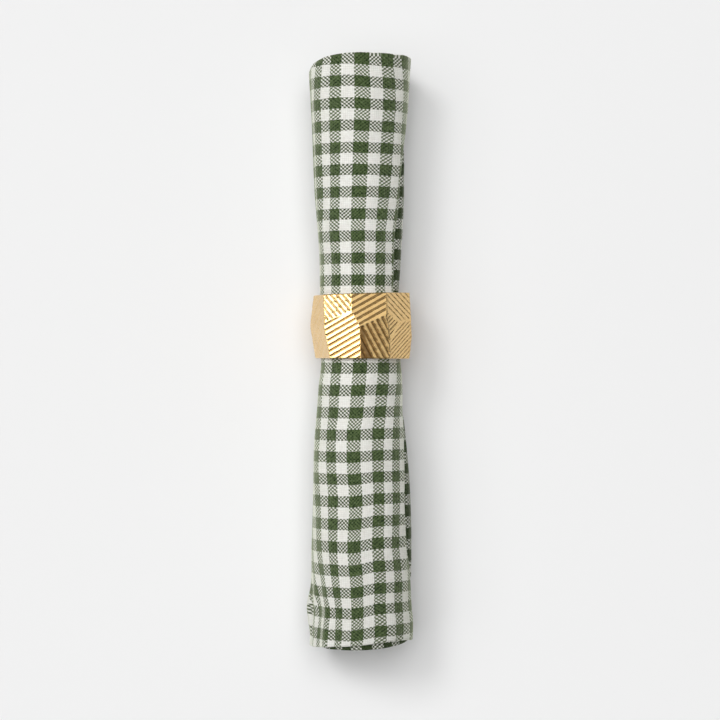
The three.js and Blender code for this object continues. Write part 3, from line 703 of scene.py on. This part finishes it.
def ring_surface():
    half = RING_WIDTH / 2
    phi = np.linspace(0, 2 * math.pi, RING_STEPS_ROUND, endpoint=False)
    share = np.linspace(-1, 1, RING_STEPS_ALONG)
    p, s = np.meshgrid(phi, share, indexing="ij")
    sin, cos = np.sin(p), np.cos(p)
    # The end faces are turned a little about the vertical.
    high = half + END_RADIUS * sin * math.tan(math.radians(END_TURNS["fold"]))
    low = -half + END_RADIUS * sin * math.tan(math.radians(END_TURNS["hem"]))
    y = low + (high - low) * (s + 1) / 2
    radii, grooves = facet_fields(sin, cos, y)
    order = np.sort(radii, axis=0)
    nearest = np.argmin(radii, axis=0)
    base = order[0] - FACET_SOFTNESS * np.log(np.exp(-(radii - order[0]) / FACET_SOFTNESS).sum(0))
    depth = np.take_along_axis(grooves, nearest[None], 0)[0]
    depth = depth * smooth(order[1] - order[0], *GROOVE_END)
    near_end = np.minimum(high - y, y - low)
    base = base - RIM_ROUND * np.clip(1 - near_end / RIM_ROUND, 0, 1) ** 2
    bumps = np.sin(BUMPS["along"] * y + BUMPS["round"] * p) * np.sin(BUMPS["change"] * p + BUMPS["start"])
    ripples = np.sin(RIPPLES["along"] * y + RIPPLES["round"] * p + RIPPLES["start"])
    r = base - depth + (BUMPS["height"] * bumps + RIPPLES["height"] * ripples)
    outer = np.stack([r * sin, y, r * cos], -1)
    bore = []
    for place, wider in reversed(BORE_PROFILE):
        radius = BORE_RADIUS + wider
        level = low[:, 0] + (high[:, 0] - low[:, 0]) * (place + 1) / 2
        bore.append(np.stack([radius * np.sin(phi), level, radius * np.cos(phi)], -1))
    loop = np.concatenate([outer, np.stack(bore, 1)], 1)
    x, along, up = loop[..., 0], loop[..., 1], loop[..., 2]
    turn = math.radians(RING_TURN)
    points = np.stack([RING_CENTRE[0] + x * math.cos(turn) - along * math.sin(turn),
                       RING_CENTRE[1] + x * math.sin(turn) + along * math.cos(turn),
                       np.maximum(RING_CENTRE[2] + up, 0.0)], -1)
    # Painted shade along the left side of one facet.
    facet_shade = (nearest == SHADED_FACET) * (
        1 - smooth(wrap(np.degrees(p)) + FACET_SHADE_SLANT * y, *FACET_SHADE_EDGE))
    # How dark the brass is: the bore a little, the grooves with patina that is partly painted shade, and
    # the one facet with painted shade.
    patina_and_shade = np.full(loop.shape[:2], BORE_DARK)
    patina_and_shade[:, :RING_STEPS_ALONG] = depth / DARK_DEPTH + FACET_SHADE * facet_shade
    return mesh_object("napkin_ring", points.reshape(-1, 3), band_faces(*loop.shape[:2]),
                       values={"patina_and_shade": patina_and_shade.ravel()})


# Links a socket to another, or sets its value.
def feed(tree, socket, value):
    if hasattr(value, "is_linked"):
        tree.links.new(value, socket)
    else:
        socket.default_value = value


# One node added to a tree, with its sockets fed by name or number.
def node(tree, kind, inputs=None, **settings):
    made = tree.nodes.new(kind)
    for key, value in settings.items():
        setattr(made, key, value)
    for key, value in (inputs or {}).items():
        feed(tree, made.inputs[key], value)
    return made


def maths(tree, operation, *values):
    return node(tree, "ShaderNodeMath", dict(enumerate(values)), operation=operation).outputs[0]


def plus(tree, a, b):
    return maths(tree, "ADD", a, b)


def minus(tree, a, b):
    return maths(tree, "SUBTRACT", a, b)


def times(tree, a, b):
    return maths(tree, "MULTIPLY", a, b)


# Mixes two colours, or two numbers.
def mix(tree, share, a, b, kind="Color"):
    made = node(tree, "ShaderNodeMix", data_type="RGBA" if kind == "Color" else "FLOAT")
    for name, value in (("Factor_Float", share), (f"A_{kind}", a), (f"B_{kind}", b)):
        feed(tree, next(i for i in made.inputs if i.identifier == name), value)
    return next(o for o in made.outputs if o.identifier == f"Result_{kind}")


def ramp(tree, value, low, high, to_low=0.0, to_high=1.0):
    return node(tree, "ShaderNodeMapRange", {"Value": value, "From Min": low, "From Max": high,
                                             "To Min": to_low, "To Max": to_high}).outputs[0]


def noise(tree, at, scale, detail):
    return node(tree, "ShaderNodeTexNoise", {"Vector": at, "Scale": scale, "Detail": detail}).outputs


def vector_maths(tree, operation, *values):
    return node(tree, "ShaderNodeVectorMath", dict(enumerate(values)), operation=operation).outputs[0]


def split(tree, vector):
    return node(tree, "ShaderNodeSeparateXYZ", {0: vector}).outputs


def joined(tree, *values):
    return node(tree, "ShaderNodeCombineXYZ", dict(enumerate(values))).outputs[0]


def object_place(tree):
    return node(tree, "ShaderNodeTexCoord").outputs["Object"]


def attribute(tree, name):
    return node(tree, "ShaderNodeAttribute", attribute_name=name).outputs["Fac"]


# A new material with its own node tree, whose shader is fed by `make`.
def new_material(name, make):
    material = bpy.data.materials.new(name)
    material.use_nodes = True
    tree = material.node_tree
    shader = tree.nodes["Principled BSDF"]
    for socket, value in make(tree).items():
        feed(tree, shader.inputs[socket], value)
    return material


# 1 in white stripes or rows and 0 in green ones, where `place` counts them one by one.
def is_white(tree, place):
    return maths(tree, "FLOORED_MODULO", maths(tree, "FLOOR", place), 2.0)


# Plain weave: the lengthwise yarn is on top at every other crossing. Here and there the floats
# lean together into faint diagonals, one way or the other.
def lengthwise_on_top(tree, yarn_at, a, b):
    one_way = maths(tree, "COSINE", times(tree, minus(tree, a, b), math.pi))
    other_way = maths(tree, "COSINE", times(tree, plus(tree, a, b), math.pi))
    lean = ramp(tree, noise(tree, yarn_at, *LEAN_NOISE)[0], *LEAN_RANGE, -LEAN, LEAN)
    pull = minus(tree, times(tree, plus(tree, 1.0, lean), one_way),
                 times(tree, minus(tree, 1.0, lean), other_way))
    return maths(tree, "GREATER_THAN", pull, 0.0)


# Each yarn has its own shade, changes along its length and shows more or less at a crossing, and
# the dye has taken unevenly.
def yarn_shade(tree, yarn_at, a, b, on_top):
    i, j = maths(tree, "FLOOR", a), maths(tree, "FLOOR", b)
    warp_at = joined(tree, i, times(tree, b, YARN_STRETCH))
    weft_at = joined(tree, times(tree, a, YARN_STRETCH), j, WEFT_LEVEL)
    warp, weft = (noise(tree, at, *YARN_NOISE)[0] for at in (warp_at, weft_at))
    chance = node(tree, "ShaderNodeTexWhiteNoise", {"Vector": joined(tree, i, j)},
                  noise_dimensions="2D").outputs["Color"]
    parts = {
        "yarn": ramp(tree, mix(tree, on_top, weft, warp, "Float"), *YARN_RANGE),
        "crossing": node(tree, "ShaderNodeSeparateColor", {0: chance}).outputs[1],
        "mottle": ramp(tree, noise(tree, yarn_at, *MOTTLE_NOISE)[0], *MOTTLE_RANGE),
    }
    yarn, crossing, mottle = (times(tree, parts[name], share) for name, share in SHADE_SHARES.items())
    return plus(tree, plus(tree, yarn, crossing), mottle)


def gingham(tree):
    yarn_at = node(tree, "ShaderNodeUVMap", uv_map="yarns").outputs[0]
    check_at = node(tree, "ShaderNodeUVMap", uv_map="checks").outputs[0]
    # The yarns wander a little, and the checks with them.
    wander = noise(tree, yarn_at, *WANDER_NOISE)["Color"]
    push = vector_maths(tree, "SUBTRACT", wander, (0.5, 0.5, 0.5))
    a, b = split(tree, vector_maths(tree, "MULTIPLY_ADD", push, (WANDER,) * 3, yarn_at))[:2]
    in_checks = vector_maths(tree, "MULTIPLY_ADD", push, (WANDER / YARNS_PER_ROW,) * 3, check_at)
    column_white, row_white = (is_white(tree, place) for place in split(tree, in_checks)[:2])
    on_top = lengthwise_on_top(tree, yarn_at, a, b)
    white = plus(tree, times(tree, on_top, column_white),
                 times(tree, minus(tree, 1.0, on_top), row_white))
    mixed = maths(tree, "ABSOLUTE", minus(tree, column_white, row_white))
    shade = yarn_shade(tree, yarn_at, a, b, on_top)
    # Painted shade: darker towards the hemmed end and the right, where less light falls.
    at = split(tree, object_place(tree))
    painted_shade = ramp(tree, minus(tree, at[1], times(tree, at[0], PAINTED_SHADE_RIGHT)), PAINTED_SHADE_FROM, PAINTED_SHADE_TO)
    floats = plus(tree, times(tree, shade, GREEN_SHARES["shade"]),
                  times(tree, on_top, GREEN_SHARES["on_top"]))
    green = mix(tree, ramp(tree, floats, *GREEN_RANGE), GREEN_DEEP, GREEN_LIGHT)
    # The inner layer is unfaded.
    # Painted shade: the inner layer's green is darker, as that layer lies in shade under the outer one.
    inside = attribute(tree, "inside")
    green = mix(tree, times(tree, inside, UNDER_SHADE_SHARE), green, UNDER_SHADE_GREEN)
    colour = mix(tree, white, green, mix(tree, shade, CREAM_DEEP, CREAM_LIGHT))
    # Painted shade in the gaps between yarns, darkest where the two colours cross, where it also stands
    # for the yarn beneath.
    hump_a, hump_b = (maths(tree, "SINE", times(tree, maths(tree, "FRACT", place), math.pi))
                      for place in (a, b))
    hump = times(tree, hump_a, hump_b)
    gap_share = ramp(tree, mixed, 0.0, 1.0, GAP_PLAIN, ramp(tree, painted_shade, 0.0, 1.0, *GAP_MIXED))
    gap = times(tree, ramp(tree, hump, 0.0, GAP_WIDTH, 1.0, 0.0), gap_share)
    fleck = ramp(tree, noise(tree, yarn_at, *FLECK_NOISE)[0], *FLECK_RANGE)
    colour = mix(tree, gap, colour, GAP_SHADE_COLOUR)
    colour = mix(tree, times(tree, fleck, FLECK_SHARE), colour, FLECK_COLOUR)
    colour = mix(tree, times(tree, mixed, MIXED_SHARE), colour, MIXED_COLOUR)
    # Painted shade towards the hemmed end and the right.
    colour = mix(tree, times(tree, painted_shade, PAINTED_SHADE_SHARE), colour, PAINTED_SHADE_COLOUR)
    height = plus(tree, hump, times(tree, shade, SHADE_RELIEF))
    bump = node(tree, "ShaderNodeBump", {**WEAVE_BUMP, "Height": height})
    return {
        "Base Color": colour,
        "Roughness": ramp(tree, shade, 0.0, 1.0, *COTTON_ROUGHNESS),
        "Sheen Weight": ramp(tree, inside, 0.0, 1.0, *SHEEN),
        "Normal": bump.outputs[0],
        **COTTON,
    }


def brass(tree):
    patina_and_shade = attribute(tree, "patina_and_shade")
    at = object_place(tree)
    cloud = noise(tree, at, *CLOUD_NOISE)[0]
    grain = noise(tree, at, *GRAIN_NOISE)[0]
    land = mix(tree, ramp(tree, cloud, *CLOUD_RANGE), BRASS_LIGHT, BRASS_DEEP)
    rough = ramp(tree, grain, *GRAIN_RANGE, *BRASS_ROUGHNESS)
    bump = node(tree, "ShaderNodeBump", {**GRAIN_BUMP, "Height": grain})
    return {
        # The grooves' patina, partly painted shade, and the painted shade on one facet darken the colour.
        "Base Color": mix(tree, ramp(tree, patina_and_shade, *GROOVE_RANGE, 0.0, GROOVE_SHARE), land, GROOVE_COLOUR),
        "Roughness": plus(tree, rough, times(tree, patina_and_shade, GROOVE_ROUGHNESS)),
        "Normal": bump.outputs[0],
        **BRASS,
    }


def pale_paper(tree):
    cloud = noise(tree, object_place(tree), *FLOOR_NOISE)[0]
    return {"Base Color": mix(tree, cloud, *FLOOR_TONES), **FLOOR}


def floor():
    corners = ((-1, -1), (1, -1), (1, 1), (-1, 1))
    points = [(x * FLOOR_SIZE, y * FLOOR_SIZE, FLOOR_LEVEL) for x, y in corners]
    made = mesh_object("floor", points, [(0, 1, 2, 3)])
    made.data.materials.append(new_material("studio_floor", pale_paper))


camera_and_lights()
floor()

sheet = napkin_sheet()
sheet.data.materials.append(new_material("gingham_cotton", gingham))
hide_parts("napkin")
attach(sheet, "root")

ring = ring_surface()
ring.data.materials.append(new_material("cast_brass", brass))
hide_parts("ring")
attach(ring, "root")
